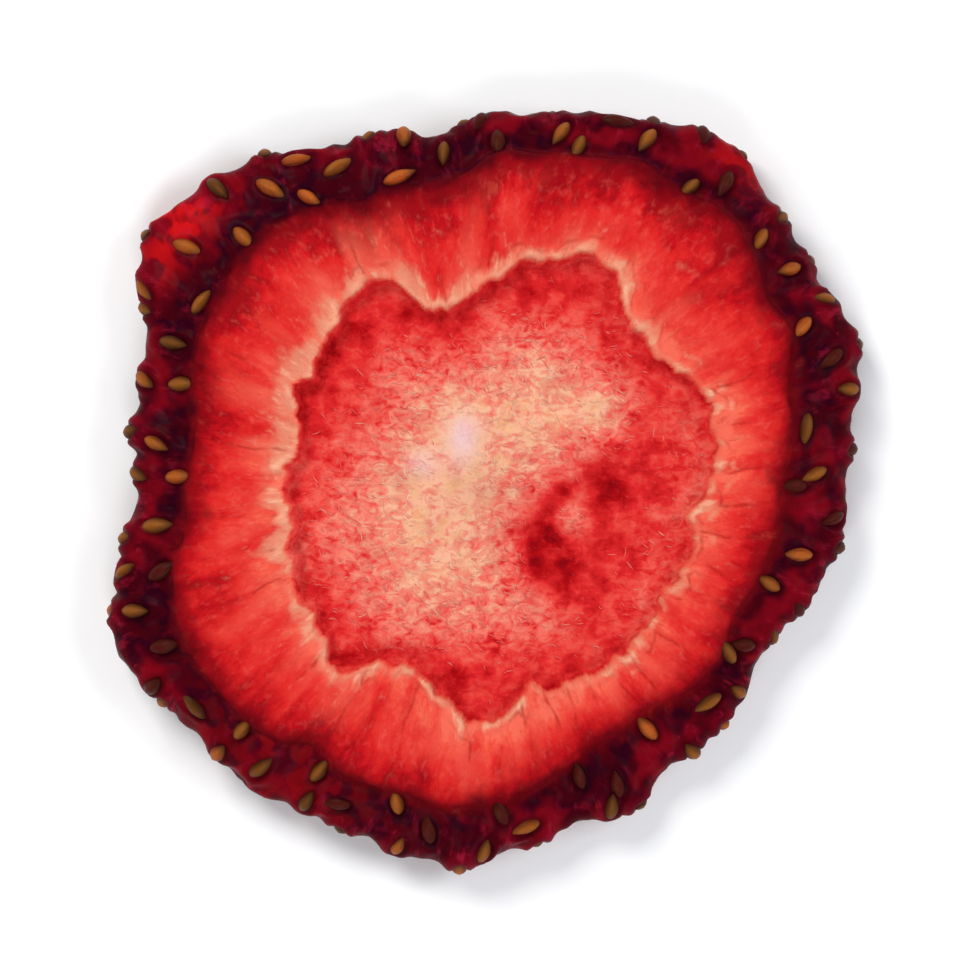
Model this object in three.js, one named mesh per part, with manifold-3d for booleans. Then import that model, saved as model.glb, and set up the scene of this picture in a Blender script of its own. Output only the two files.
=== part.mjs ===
// A dried cross-slice of a strawberry, lying on one cut face with the other one up.
// The slice is a single grown body: a soft pith in the middle, the wavy ring of veins round it, the puffed
// flesh outside the ring, and the shrunken skin that flares out past the cut face and carries the achenes.
// Millimetres, +Z up. The origin is at the centre of the slice's box, on the surface it rests on.
// An azimuth is in degrees, anticlockwise from +X seen from above.
import * as THREE from "three";
import { mergeVertices } from "three/addons/utils/BufferGeometryUtils.js";
import Module from "manifold-3d";

// ---- Driving dimensions ----

// Closed outlines, seen from above: [azimuth, radius].
// The skin's widest line, without the achenes that stand out past it.
const SKIN_OUTLINE = [
  [0, 15.05], [8, 15.3], [15, 16.0], [24, 16.7], [31, 16.4], [40, 16.75], [47, 17.05], [53, 17.6], [60, 17.4],
  [66, 16.75], [73, 16.45], [80, 15.9], [90, 15.6], [97, 14.85], [105, 15.4], [112, 15.6], [119, 16.1],
  [127, 17.0], [134, 17.3], [141, 17.65], [147, 17.0], [152, 15.85], [160, 15.1], [170, 14.7], [180, 14.35],
  [187, 14.9], [196, 15.9], [203, 16.7], [208, 16.4], [213, 15.95], [222, 15.7], [232, 15.6], [246, 15.15],
  [256, 15.45], [263, 15.6], [270, 15.3], [280, 14.65], [288, 14.35], [295, 14.55], [303, 13.8], [312, 13.95],
  [322, 13.65], [334, 13.45], [342, 14.3], [351, 14.9],
];
// The edge of the upper cut face, where the pale flesh meets the dark skin.
const CUT_OUTLINE = [
  [0, 12.3], [6, 12.65], [13, 13.15], [20, 13.3], [28, 14.4], [33, 14.2], [41, 14.9], [50, 15.3], [58, 14.85],
  [64, 15.2], [72, 14.6], [80, 14.25], [88, 14.1], [94, 13.2], [104, 13.05], [113, 13.1], [121, 13.75],
  [131, 14.1], [141, 13.85], [150, 13.5], [159, 13.0], [166, 12.4], [173, 12.2], [181, 12.4], [188, 12.6],
  [196, 13.45], [205, 13.95], [214, 13.85], [225, 13.7], [231, 13.4], [236, 12.65], [243, 13.1], [255, 13.05],
  [262, 13.2], [270, 12.9], [280, 12.4], [290, 11.5], [298, 11.3], [306, 11.3], [315, 11.8], [325, 11.9],
  [334, 11.6], [342, 11.9], [351, 12.2],
];
// The inner edge of the raised ring of veins.
const VEIN_RING = [
  [0, 9.35], [5, 9.65], [13, 10.1], [21, 10.05], [29, 9.95], [34, 9.4], [41, 9.2], [48, 9.4], [54, 9.95],
  [60, 10.65], [67, 10.85], [72, 10.3], [78, 9.85], [84, 9.3], [90, 8.7], [94, 8.2], [99, 7.85], [104, 7.75],
  [108, 8.3], [112, 9.2], [116, 9.8], [121, 9.95], [127, 9.75], [133, 9.25], [138, 9.0], [143, 8.95],
  [147, 8.75], [151, 9.0], [156, 8.5], [162, 8.05], [168, 8.0], [174, 8.05], [179, 8.4], [185, 8.1],
  [191, 8.05], [197, 8.4], [207, 8.85], [216, 8.8], [223, 9.2], [229, 9.65], [233, 9.45], [236, 8.9],
  [241, 8.4], [248, 8.05], [253, 8.3], [258, 8.95], [264, 9.5], [271, 9.75], [275, 9.6], [279, 9.05],
  [283, 8.55], [289, 8.8], [298, 9.0], [309, 9.0], [320, 9.0], [329, 8.75], [336, 9.0], [344, 9.15],
  [351, 8.9], [356, 9.0],
];

// The upper cut face.
const FACE_HEIGHT = 4.2; // of the vein ring above the surface that the slice lies on
const WARP = { rise: 0.3, azimuth: 30, reach: 15 }; // the saddle that drying bends the face into
const RIDGE = { rise: 0.16, width: 0.5 }; // the ring of veins, above the flesh beside it
const PILLOW_RISE = 0.42; // of the puffed flesh, half way from the ring to the skin
const EDGE_DROP = 0.4; // of the flesh where it rolls over into the skin
const PITH_DROP = 0.5; // from the ring down to the pith
const PITH_FOOT = 0.45; // the width of that step
// The pith's soft swellings and sinks: centre, radius and height.
const PITH_FORMS = [
  { x: -1.0, y: 1.9, radius: 4.6, rise: 0.42 },
  { x: 2.8, y: -2.4, radius: 1.6, rise: -0.5 },
  { x: 4.9, y: -0.2, radius: 1.7, rise: -0.32 },
  { x: 3.8, y: -1.2, radius: 0.8, rise: 0.2 },
];

// The skin's wall, from the cut edge out over the shoulder, round the widest line and in underneath:
// [share of the way out to the widest line, share of the height].
const WALL_PROFILE = [
  [0, 1], [0.08, 0.88], [0.22, 0.8], [0.45, 0.72], [0.7, 0.6], [0.88, 0.45], [0.98, 0.28], [1, 0.18],
  [0.95, 0.06], [0.82, 0],
];

// The lower cut face.
const LOWER_EDGE = 0.5; // height of its edge
const LOWER_GROOVE = 0.22; // depth of the vein ring's groove
const LOWER_RING_SCALE = 1.05; // of the vein ring, which widens towards the thick end of the berry
const FLAT_SHARE = 0.78; // of the lower ring's radius, inside which the pith is pressed flat

// The achenes, in staggered rows round the wall.
const ACHENE = { length: 1.45, width: 0.8, thickness: 0.66, sunk: 0.07 };
const ROW_SHARES = [0.2, 0.42, 0.66, 0.82]; // of the wall's length, from the cut edge
const ROW_SPACING = 4.4; // from one achene to the next, along the skin's outline
const ROW_START = 0.875; // of the first row, in spacings from azimuth 0
const ACHENE_SCATTER = { along: 0.9, across: 0.07, turn: 26, size: 0.1 }; // turn in degrees
const LYING_ACROSS = 0.12; // share of the achenes that lie across the wall
const ACHENE_SEED = 225;

// How finely the solid is faceted.
const SECTORS = 120;
const WALL_STEPS = [0.08, 0.2, 0.34, 0.48, 0.62, 0.75, 0.88];
const ACHENE_SIDES = 6;

const COLOUR = { flesh: 0xb3161c };

// ---- Curves ----

const radians = (degrees) => (degrees * Math.PI) / 180;
const smoothstep = (t) => {
  const s = Math.min(1, Math.max(0, t));
  return s * s * (3 - 2 * s);
};
const bump = (distance, radius) => Math.exp(-((distance / radius) ** 2));

// The radius of a closed outline at an azimuth: a smooth curve through its points.
function radiusAt(outline, azimuth) {
  const n = outline.length;
  const a = ((azimuth % 360) + 360) % 360;
  const last = outline.findLastIndex(([at]) => at <= a);
  const point = (k) => {
    const [at, r] = outline[((k % n) + n) % n];
    return [at + 360 * Math.floor(k / n), r];
  };
  const [[a0, r0], [a1, r1], [a2, r2], [a3, r3]] = [-1, 0, 1, 2].map((k) => point(last + k));
  const slope = (pa, pr, qa, qr, sa, sr) =>
    (((sr - qr) / (sa - qa)) * (qa - pa) + ((qr - pr) / (qa - pa)) * (sa - qa)) / (sa - pa);
  const h = a2 - a1;
  const m1 = slope(a0, r0, a1, r1, a2, r2) * h;
  const m2 = slope(a1, r1, a2, r2, a3, r3) * h;
  const t = (a - a1) / h;
  return (
    (2 * t ** 3 - 3 * t ** 2 + 1) * r1 + (t ** 3 - 2 * t ** 2 + t) * m1 +
    (3 * t ** 2 - 2 * t ** 3) * r2 + (t ** 3 - t ** 2) * m2
  );
}

const wallCurve = new THREE.CatmullRomCurve3(
  WALL_PROFILE.map(([out, up]) => new THREE.Vector3(out, up, 0)), false, "centripetal",
);

// ---- Surfaces ----

// The height of the upper cut face.
function faceHeight(azimuth, r) {
  const x = r * Math.cos(radians(azimuth));
  const y = r * Math.sin(radians(azimuth));
  const ring = radiusAt(VEIN_RING, azimuth);
  const edge = radiusAt(CUT_OUTLINE, azimuth);
  const warp = WARP.rise * Math.cos(2 * radians(azimuth - WARP.azimuth)) * (r / WARP.reach) ** 2;
  const outside = r - ring;
  if (outside < 0) {
    const step = smoothstep(-outside / PITH_FOOT);
    const forms = PITH_FORMS.map((f) => f.rise * bump(Math.hypot(x - f.x, y - f.y), f.radius));
    return FACE_HEIGHT + warp + RIDGE.rise * (1 - step) - PITH_DROP * step +
      step * forms.reduce((sum, rise) => sum + rise);
  }
  const share = Math.min(1, outside / (edge - ring));
  const ridge = RIDGE.rise * (1 - smoothstep(outside / RIDGE.width));
  return FACE_HEIGHT + warp + ridge + PILLOW_RISE * Math.sin(Math.PI * share ** 0.9) - EDGE_DROP * share ** 4;
}

// The height of the lower cut face: flat in the middle, lifting a little towards its edge.
function undersideHeight(azimuth, r, edge) {
  const ring = LOWER_RING_SCALE * radiusAt(VEIN_RING, azimuth);
  const flat = FLAT_SHARE * ring;
  const lift = LOWER_EDGE * Math.max(0, (r - flat) / (edge - flat)) ** 2;
  return lift + LOWER_GROOVE * bump(r - ring, RIDGE.width) * smoothstep((r - flat) / RIDGE.width);
}

const lowerEdge = (azimuth) => {
  const [out] = WALL_PROFILE.at(-1);
  const cut = radiusAt(CUT_OUTLINE, azimuth);
  return cut + out * (radiusAt(SKIN_OUTLINE, azimuth) - cut);
};

// A point of the skin's wall: share 0 is the upper cut edge, and 1 the lower one.
function wallPoint(azimuth, share) {
  const cut = radiusAt(CUT_OUTLINE, azimuth);
  const skin = radiusAt(SKIN_OUTLINE, azimuth);
  const at = wallCurve.getPointAt(share);
  const r = cut + at.x * (skin - cut);
  const z = LOWER_EDGE + at.y * (faceHeight(azimuth, cut) - LOWER_EDGE);
  return new THREE.Vector3(r * Math.cos(radians(azimuth)), r * Math.sin(radians(azimuth)), z);
}

// ---- Solids ----

const wasm = await Module();
wasm.setup();

function solidOf(geometry) {
  const bare = geometry.clone();
  bare.deleteAttribute("normal");
  bare.deleteAttribute("uv");
  const merged = mergeVertices(bare, 1e-5);
  return new wasm.Manifold(
    new wasm.Mesh({
      numProp: 3,
      vertProperties: merged.attributes.position.array,
      triVerts: new Uint32Array(merged.index.array),
    }),
  );
}

function geometryOf(solid) {
  const mesh = solid.getMesh();
  const geometry = new THREE.BufferGeometry();
  geometry.setAttribute("position", new THREE.BufferAttribute(mesh.vertProperties, 3));
  geometry.setIndex(new THREE.BufferAttribute(mesh.triVerts, 1));
  geometry.computeVertexNormals();
  return geometry;
}

// The slice's body, as closed rings of points from the middle of the upper face, over the edge, round the
// wall and in to the middle of the lower face.
function bodyGeometry() {
  const azimuths = Array.from({ length: SECTORS }, (_, k) => (360 * k) / SECTORS);
  const place = (azimuth, r, z) => [r * Math.cos(radians(azimuth)), r * Math.sin(radians(azimuth)), z];
  const onFace = (radius) => azimuths.map((a) => place(a, radius(a), faceHeight(a, radius(a))));
  const below = (radius) =>
    azimuths.map((a) => place(a, radius(a), undersideHeight(a, radius(a), lowerEdge(a))));
  const ring = (a) => radiusAt(VEIN_RING, a);
  const cortex = (share) => (a) => ring(a) + share * (radiusAt(CUT_OUTLINE, a) - ring(a));
  const lowerRing = (a) => LOWER_RING_SCALE * ring(a);
  const lowerCortex = (share) => (a) => lowerRing(a) + share * (lowerEdge(a) - lowerRing(a));

  const rings = [
    ...[0.28, 0.56, 0.8].map((share) => onFace((a) => share * ring(a))),
    onFace((a) => ring(a) - PITH_FOOT),
    onFace(ring),
    onFace((a) => ring(a) + RIDGE.width),
    ...[0.36, 0.62, 0.86, 1].map((share) => onFace(cortex(share))),
    ...WALL_STEPS.map((share) => azimuths.map((a) => wallPoint(a, share).toArray())),
    ...[1, 0.66, 0.3].map((share) => below(lowerCortex(share))),
    below(lowerRing),
    below((a) => FLAT_SHARE * lowerRing(a)),
  ];
  const points = [...rings.flat(), [0, 0, faceHeight(0, 0)], [0, 0, 0]];
  const [top, bottom] = [points.length - 2, points.length - 1];
  const faces = [];
  for (let k = 0; k < SECTORS; k++) {
    const next = (k + 1) % SECTORS;
    const lastRing = (rings.length - 1) * SECTORS;
    faces.push(top, k, next, bottom, lastRing + next, lastRing + k);
    for (let i = 0; i < rings.length - 1; i++) {
      const [a, b, c, d] = [i * SECTORS + k, i * SECTORS + next, (i + 1) * SECTORS + k, (i + 1) * SECTORS + next];
      faces.push(a, c, d, a, d, b);
    }
  }
  const geometry = new THREE.BufferGeometry();
  geometry.setAttribute("position", new THREE.Float32BufferAttribute(points.flat(), 3));
  geometry.setIndex(faces);
  return geometry;
}

// One achene: a flattened drop along X, with its narrow tip towards +X and its thickness along Z.
function acheneGeometry() {
  const profile = [[0, -0.5], [0.37, -0.34], [0.5, -0.08], [0.33, 0.28], [0, 0.5]];
  const drop = new THREE.LatheGeometry(profile.map(([r, y]) => new THREE.Vector2(r, y)), ACHENE_SIDES);
  drop.rotateZ(-Math.PI / 2);
  return drop.scale(ACHENE.length, ACHENE.width, ACHENE.thickness);
}

// Evenly spread numbers from 0 to 1, the same each run.
function randomFrom(seed) {
  let state = seed;
  return () => {
    state = (state * 16807) % 2147483647;
    return state / 2147483647;
  };
}

// Azimuths at equal steps along the skin's outline.
function azimuthsAlongOutline() {
  const at = (azimuth) => {
    const r = radiusAt(SKIN_OUTLINE, azimuth);
    return new THREE.Vector2(r * Math.cos(radians(azimuth)), r * Math.sin(radians(azimuth)));
  };
  const lengths = [0];
  for (let a = 1; a <= 360; a++) lengths.push(lengths[a - 1] + at(a).distanceTo(at(a - 1)));
  const count = Math.round(lengths[360] / ROW_SPACING);
  const spacing = lengths[360] / count;
  return {
    count,
    spacing,
    azimuth(step) {
      const length = (step % count) * spacing;
      const a = lengths.findLastIndex((l) => l <= length);
      return a === 360 ? 360 : a + (length - lengths[a]) / (lengths[a + 1] - lengths[a]);
    },
  };
}

// Where each achene stands: a matrix that takes the drop to its place on the wall.
function achenePlaces() {
  const random = randomFrom(ACHENE_SEED);
  const either = () => 2 * random() - 1;
  const outline = azimuthsAlongOutline();
  const places = [];
  ROW_SHARES.forEach((rowShare, row) => {
    for (let k = 0; k < outline.count; k++) {
      const step = k + ROW_START + (row % 2) / 2 + (ACHENE_SCATTER.along / outline.spacing) * either();
      const share = rowShare + ACHENE_SCATTER.across * either();
      const across = random() < LYING_ACROSS ? 90 : 0;
      const turn = across + ACHENE_SCATTER.turn * either();
      const size = 1 + ACHENE_SCATTER.size * either();
      const azimuth = outline.azimuth(step);
      const point = wallPoint(azimuth, share);
      const up = wallPoint(azimuth, share - 0.04).sub(wallPoint(azimuth, share + 0.04)).normalize();
      const round = wallPoint(azimuth + 1, share).sub(wallPoint(azimuth - 1, share)).normalize();
      const out = new THREE.Vector3().crossVectors(round, up).normalize();
      const side = new THREE.Vector3().crossVectors(out, up);
      const matrix = new THREE.Matrix4().makeBasis(up, side, out);
      matrix.multiply(new THREE.Matrix4().makeRotationZ(radians(turn)));
      matrix.scale(new THREE.Vector3(size, size, size));
      matrix.setPosition(point.addScaledVector(out, -ACHENE.sunk));
      places.push(matrix);
    }
  });
  return places;
}

// ---- The part ----

const achene = acheneGeometry();
let slice = solidOf(bodyGeometry());
for (const place of achenePlaces()) slice = slice.add(solidOf(achene.clone().applyMatrix4(place)));

const part = new THREE.Group();
const flesh = new THREE.MeshStandardMaterial({ color: COLOUR.flesh, roughness: 0.55, metalness: 0 });
const mesh = new THREE.Mesh(geometryOf(slice), flesh);
mesh.name = "strawberry_slice";
part.add(mesh);

export default part;
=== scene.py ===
"""The looks of a dried strawberry slice, laid out as a Blender add-on.

The slice's outlines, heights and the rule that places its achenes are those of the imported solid. Lengths are in
millimetres until a mesh is finished. The frame is +Z up, out of the upper cut face.
"""

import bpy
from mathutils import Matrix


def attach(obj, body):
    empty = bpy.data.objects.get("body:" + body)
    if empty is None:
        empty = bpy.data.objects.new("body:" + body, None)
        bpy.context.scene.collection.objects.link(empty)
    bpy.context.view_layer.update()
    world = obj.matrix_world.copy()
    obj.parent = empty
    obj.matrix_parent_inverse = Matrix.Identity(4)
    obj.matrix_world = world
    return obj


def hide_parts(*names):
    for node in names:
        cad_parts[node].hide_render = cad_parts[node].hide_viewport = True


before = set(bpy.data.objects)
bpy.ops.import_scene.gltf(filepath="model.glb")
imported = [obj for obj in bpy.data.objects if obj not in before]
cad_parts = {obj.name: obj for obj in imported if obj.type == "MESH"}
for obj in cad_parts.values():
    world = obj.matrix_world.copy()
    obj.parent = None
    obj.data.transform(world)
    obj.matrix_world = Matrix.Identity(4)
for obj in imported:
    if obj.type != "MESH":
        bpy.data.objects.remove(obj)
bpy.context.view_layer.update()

import math
from collections import namedtuple

import bmesh
import bpy
import numpy as np
from mathutils import Vector, noise

bl_info = {
    "name": "Dried Strawberry Slice",
    "version": (1, 0, 0),
    "blender": (4, 5, 0),
    "location": "View3D > Sidebar > Strawberry",
    "description": "Builds a dried strawberry slice with its achenes, pith fibres and stage",
    "category": "Add Mesh",
}

NODE = "strawberry_slice"
BODY = "root"
MM = 0.001


# ---- The form of the solid ----

# Closed outlines, seen from above: [azimuth, radius].
SKIN_OUTLINE = [
    [0, 15.05], [8, 15.3], [15, 16.0], [24, 16.7], [31, 16.4], [40, 16.75], [47, 17.05], [53, 17.6], [60, 17.4],
    [66, 16.75], [73, 16.45], [80, 15.9], [90, 15.6], [97, 14.85], [105, 15.4], [112, 15.6], [119, 16.1],
    [127, 17.0], [134, 17.3], [141, 17.65], [147, 17.0], [152, 15.85], [160, 15.1], [170, 14.7], [180, 14.35],
    [187, 14.9], [196, 15.9], [203, 16.7], [208, 16.4], [213, 15.95], [222, 15.7], [232, 15.6], [246, 15.15],
    [256, 15.45], [263, 15.6], [270, 15.3], [280, 14.65], [288, 14.35], [295, 14.55], [303, 13.8], [312, 13.95],
    [322, 13.65], [334, 13.45], [342, 14.3], [351, 14.9],
]
CUT_OUTLINE = [
    [0, 12.3], [6, 12.65], [13, 13.15], [20, 13.3], [28, 14.4], [33, 14.2], [41, 14.9], [50, 15.3], [58, 14.85],
    [64, 15.2], [72, 14.6], [80, 14.25], [88, 14.1], [94, 13.2], [104, 13.05], [113, 13.1], [121, 13.75],
    [131, 14.1], [141, 13.85], [150, 13.5], [159, 13.0], [166, 12.4], [173, 12.2], [181, 12.4], [188, 12.6],
    [196, 13.45], [205, 13.95], [214, 13.85], [225, 13.7], [231, 13.4], [236, 12.65], [243, 13.1], [255, 13.05],
    [262, 13.2], [270, 12.9], [280, 12.4], [290, 11.5], [298, 11.3], [306, 11.3], [315, 11.8], [325, 11.9],
    [334, 11.6], [342, 11.9], [351, 12.2],
]
VEIN_RING = [
    [0, 9.35], [5, 9.65], [13, 10.1], [21, 10.05], [29, 9.95], [34, 9.4], [41, 9.2], [48, 9.4], [54, 9.95],
    [60, 10.65], [67, 10.85], [72, 10.3], [78, 9.85], [84, 9.3], [90, 8.7], [94, 8.2], [99, 7.85], [104, 7.75],
    [108, 8.3], [112, 9.2], [116, 9.8], [121, 9.95], [127, 9.75], [133, 9.25], [138, 9.0], [143, 8.95],
    [147, 8.75], [151, 9.0], [156, 8.5], [162, 8.05], [168, 8.0], [174, 8.05], [179, 8.4], [185, 8.1],
    [191, 8.05], [197, 8.4], [207, 8.85], [216, 8.8], [223, 9.2], [229, 9.65], [233, 9.45], [236, 8.9],
    [241, 8.4], [248, 8.05], [253, 8.3], [258, 8.95], [264, 9.5], [271, 9.75], [275, 9.6], [279, 9.05],
    [283, 8.55], [289, 8.8], [298, 9.0], [309, 9.0], [320, 9.0], [329, 8.75], [336, 9.0], [344, 9.15],
    [351, 8.9], [356, 9.0],
]

FACE_HEIGHT = 4.2
WARP_RISE, WARP_AZIMUTH, WARP_REACH = 0.3, 30, 15
RIDGE_RISE, RIDGE_WIDTH = 0.16, 0.5
PILLOW_RISE = 0.42
EDGE_DROP = 0.4
PITH_DROP, PITH_FOOT = 0.5, 0.45
# Round forms and patches: their middle, radius and rise.
PITH_FORMS = [
    (-1.0, 1.9, 4.6, 0.42), (2.8, -2.4, 1.6, -0.5), (4.9, -0.2, 1.7, -0.32), (3.8, -1.2, 0.8, 0.2),
]
# Fine waves of the vein ring: how many go round it, their reach, and where they start.
RING_WAVES = [(19, 0.09, 0.4), (31, 0.08, 2.2), (47, 0.06, 4.1), (73, 0.035, 1.3), (113, 0.025, 5.2)]
WALL_PROFILE = [
    [0, 1], [0.08, 0.88], [0.22, 0.8], [0.45, 0.72], [0.7, 0.6], [0.88, 0.45], [0.98, 0.28], [1, 0.18],
    [0.95, 0.06], [0.82, 0],
]
LOWER_EDGE = 0.5
WALL_LENGTH = 5.2
LOWER_GROOVE = 0.22
LOWER_RING_SCALE = 1.05
FLAT_SHARE = 0.78

ACHENE_LENGTH, ACHENE_WIDTH, ACHENE_THICKNESS, ACHENE_SUNK = 1.45, 0.8, 0.66, 0.07
ROW_SHARES = [0.2, 0.42, 0.66, 0.82]
ROW_SPACING = 4.4
ROW_START = 0.875
SCATTER_ALONG, SCATTER_ACROSS, SCATTER_TURN, SCATTER_SIZE = 0.9, 0.07, 26, 0.1
LYING_ACROSS = 0.12
ACHENE_SEED = 225


# ---- Forms finer than the solid's, in millimetres ----

# The skin's lips cover a little of each side of an achene, so it is slimmer than the solid's.
ACHENE_SIZE = [ACHENE_LENGTH, 0.66, ACHENE_THICKNESS]
# Each achene sinks by a little less or more than the solid's, and deeper low on the wall.
SUNK_LEAST, SUNK_MOST, SUNK_MORE = -0.04, 0.06, 0.09
# Shares of the achenes that are still covered by skin, and that are bright.
COVERED_SHARE, BRIGHT_SHARE = 0.16, 0.09
# The lower face ends at this share of the wall's lower edge.
UNDER_REACH = 0.985
# The cut edge is softened from this share of the upper face outwards and down this many rings of the wall.
SOFT_SHARE, SOFT_RINGS, SOFT_TIMES = 0.965, 2, 4
# The share of the way down the skin's wall where it is widest, and the skin's swell there.
WIDEST_SHARE, SWELL_RISE, SWELL_REACH = 0.72, 0.24, 0.22
# The mounds under the achenes: the least rise, what is added where they are highest, and their reach in shares.
MOUND_LEAST, MOUND_MORE, MOUND_REACH = 0.02, 0.34, 0.2
# Two waves that go round the slice so often that each mound gets its own height.
MOUND_TURNS = 137, 31
# The seat that an achene presses into the skin, and the skin's collar round it, higher low on the wall.
SEAT_DEPTH, COLLAR_RISE, COLLAR_MORE = 0.1, 0.1, 0.06
# What low on the wall is: the share of the way down it, and the reach.
LOW_SHARE, LOW_REACH = 0.75, 0.2
# The flesh's creases: half width, and how they wander, as reach, rate along the radius, and start.
CREASE_REACH = 0.13
CREASE_WAVES = [(0.14, 0.8, 2.1), (0.05, 3.3, 1.0)]
# How high the flesh's streaks, the face's grain and the skin's grain stand.
STREAK_RISE, GRAIN_RISE, SKIN_GRAIN = 0.09, 0.06, 0.07
# Noise in streaks is taken round this radius, and moves on by this much for each millimetre outwards.
STREAK_RADIUS, STREAK_RATE = 9, 0.22
# Noise on the skin is taken on a tube of this radius and length.
SKIN_RADIUS, SKIN_LENGTH = 15, 5.5
# Fibres: half the square they are drawn in, their gaps to the vein ring and the painted glare, and their heading.
FIBRE_SQUARE, RING_GAP, GLARE_GAP, FIBRE_HEADING = 11, 0.7, 1, -28

# Places round the slice: azimuth, reach in degrees, and strength.
RING_WANDER = [(188, 40, 0.2), (305, 110, -0.13)]
RING_WIDE = [(145, 38, 1), (195, 40, 0.45)]
RING_BROADER = [(55, 28, 0.22)]
RING_FAINTER = [(290, 60, 0.15), (95, 28, 0.13), (188, 28, 0.13)]
RING_BROKEN = [(0, 60, 1)]
CALM_RIM = [(225, 25, 0.6), (322, 34, 0.8), (78, 38, 1)]
DARKER_FLESH = [
    (62, 30, 0.17), (110, 30, 0.18), (148, 20, 0.09), (235, 28, 0.07), (0, 30, -0.12), (282, 28, -0.16),
]
# The skin's glow, light shining through the thin skin painted into its colour, comes from the next two tables and
# from the thin corners below.
ROSY_EDGE = [(-5, 45, 0.14), (62, 30, 0.1), (235, 30, 0.1), (295, 50, 0.15)]
BRIGHT_SKIN = [(234, 16, 0.25)]
# The skin's thin corners, where painted light glows through it: azimuth, reach, strength, where they start, and
# the way to their full tone.
THIN_CORNERS = [(139, 9, 1, 15.2, 1.5), (52, 7, 0.6, 16, 1.2)]


# ---- Stage, in metres unless said ----

FLOOR_SIZE, FLOOR_GAP = 3, 0.00002
SKY_COLOUR, SKY_STRENGTH = (0.93, 0.96, 1.0, 1), 0.22
SENSOR_WIDTH = 36
# The place on the cut face at the frame's middle, in millimetres.
FRAME_MIDDLE = -0.17, 0.46


# ---- Tones of the pith, by place ----

# Soft patches, by how much they are paler than the red margin.
PALE_PATCHES = [
    (-1.0, 1.9, 2.8, 0.7), (-2.2, -1.4, 2.8, 0.49), (-0.3, -3.4, 2.8, 0.36), (2.6, 3.4, 2.5, 0.58),
    (5.0, 3.4, 1.2, 0.5), (-5.0, -0.6, 2.4, 0.17), (-3.6, -5.0, 1.9, 0.3), (1.6, 6.6, 2.1, 0.24),
    (2.2, -5.4, 1.7, 0.22), (3.7, -1.2, 0.8, 0.42), (-5.2, 4.2, 2.2, 0.1), (-1.0, 3.4, 0.9, 0.2),
    (8.8, -0.6, 1.9, 0.14), (7.2, -4.6, 2.2, 0.14), (8.2, 2.2, 1.6, 0.08), (-5.9, -2.4, 2.2, 0.12),
    (-3.2, 5.2, 1.4, 0.14), (-1.0, -5.3, 1.2, 0.08),
]
# Deep red places in it.
DEEP_PATCHES = [
    (2.4, -2.1, 0.85, 0.58), (4.9, 0.6, 1.3, 0.17), (3.4, -3.2, 1.6, 0.24), (-1.3, 7.3, 1.3, 0.13),
    (3.2, -0.1, 0.6, 0.25), (2.5, -0.8, 0.55, 0.22), (2.7, -3.3, 0.8, 0.28), (4.7, -1.0, 0.8, 0.14),
    (-6.8, 4.2, 2.0, 0.1), (-7.6, -0.5, 1.6, 0.05), (-6.2, 5.6, 1.2, 0.08), (0.3, 8.4, 1.2, 0.08),
    (1.8, 8.0, 0.9, 0.25), (6.4, 2.8, 1.3, 0.08), (0.4, -1.4, 1.4, 0.06), (-4.6, -6.3, 1.6, 0.09),
    (-1.8, -7.3, 1.6, 0.09), (2.6, -7.2, 1.6, 0.12), (7.0, -0.2, 1.2, 0.06), (3.4, 7.9, 1.2, 0.06),
    (-4.2, 7.2, 1.4, 0.06),
]
# Its painted glare, a pale lilac-white highlight in two places: their middle, half width and half height,
# softness and strength.
GLARE_PLACES = [(-0.9, 2.2, 0.75, 1.15, 0.85, 0.9), (-2.6, 1.1, 1, 1, 0.6, 0.5)]
# Radial creases of the flesh: azimuth, and their ends in shares of the way from the vein ring outwards.
CREASES = [
    (5, 0, 0.9), (14, 0.1, 0.6), (24, 0.1, 0.8), (40, 0, 0.4), (57, 0, 0.35), (88, 0, 0.5),
    (102, 0, 0.3), (118, 0, 0.6), (152, 0.2, 1.1), (161, 0, 0.3), (169, 0, 0.7), (186, 0.05, 1.0),
    (196, 0, 0.3), (203, 0, 0.8), (214, 0.3, 0.7), (226, 0, 0.95), (237, 0, 0.8), (244, 0, 0.4),
    (252, 0, 1.0), (266, 0, 0.6), (274, 0.1, 0.8), (281, 0, 1.1), (287, 0, 0.7), (292, 0, 1.1),
    (299, 0, 0.7), (305, 0.1, 1.0), (311, 0, 1.1), (322, 0, 0.7), (331, 0.1, 0.9), (341, 0, 0.7),
    (350, 0, 1.0), (356, 0.2, 0.8),
]


def bump(distance, radius):
    """A smooth hill: 1 where the distance is 0, and close to 0 past twice the radius."""
    return np.exp(-((distance / radius) ** 2))


def forms_at(x, y, forms):
    """The sum of round forms at the places x, y."""
    return sum(rise * bump(np.hypot(x - fx, y - fy), radius) for fx, fy, radius, rise in forms)


def turn_from(azimuth, centre):
    """The angle from a centre azimuth, from -180 to 180 degrees."""
    return (azimuth - centre + 180) % 360 - 180


def around(azimuth, places):
    """The sum of places round the slice."""
    return sum(strength * bump(turn_from(azimuth, centre), reach) for centre, reach, strength in places)


def polar_of(x, y):
    """The azimuth and the distance from the middle of the places x, y."""
    return np.degrees(np.arctan2(y, x)) % 360, np.hypot(x, y)


def smoothstep(t):
    """From 0 to 1, level at both ends."""
    s = np.clip(t, 0, 1)
    return s * s * (3 - 2 * s)


def hermite(t, start, start_slope, end, end_slope):
    """A smooth way from start to end for t of 0 to 1."""
    return ((2 * t**3 - 3 * t**2 + 1) * start + (t**3 - 2 * t**2 + t) * start_slope
            + (3 * t**2 - 2 * t**3) * end + (t**3 - t**2) * end_slope)


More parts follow.
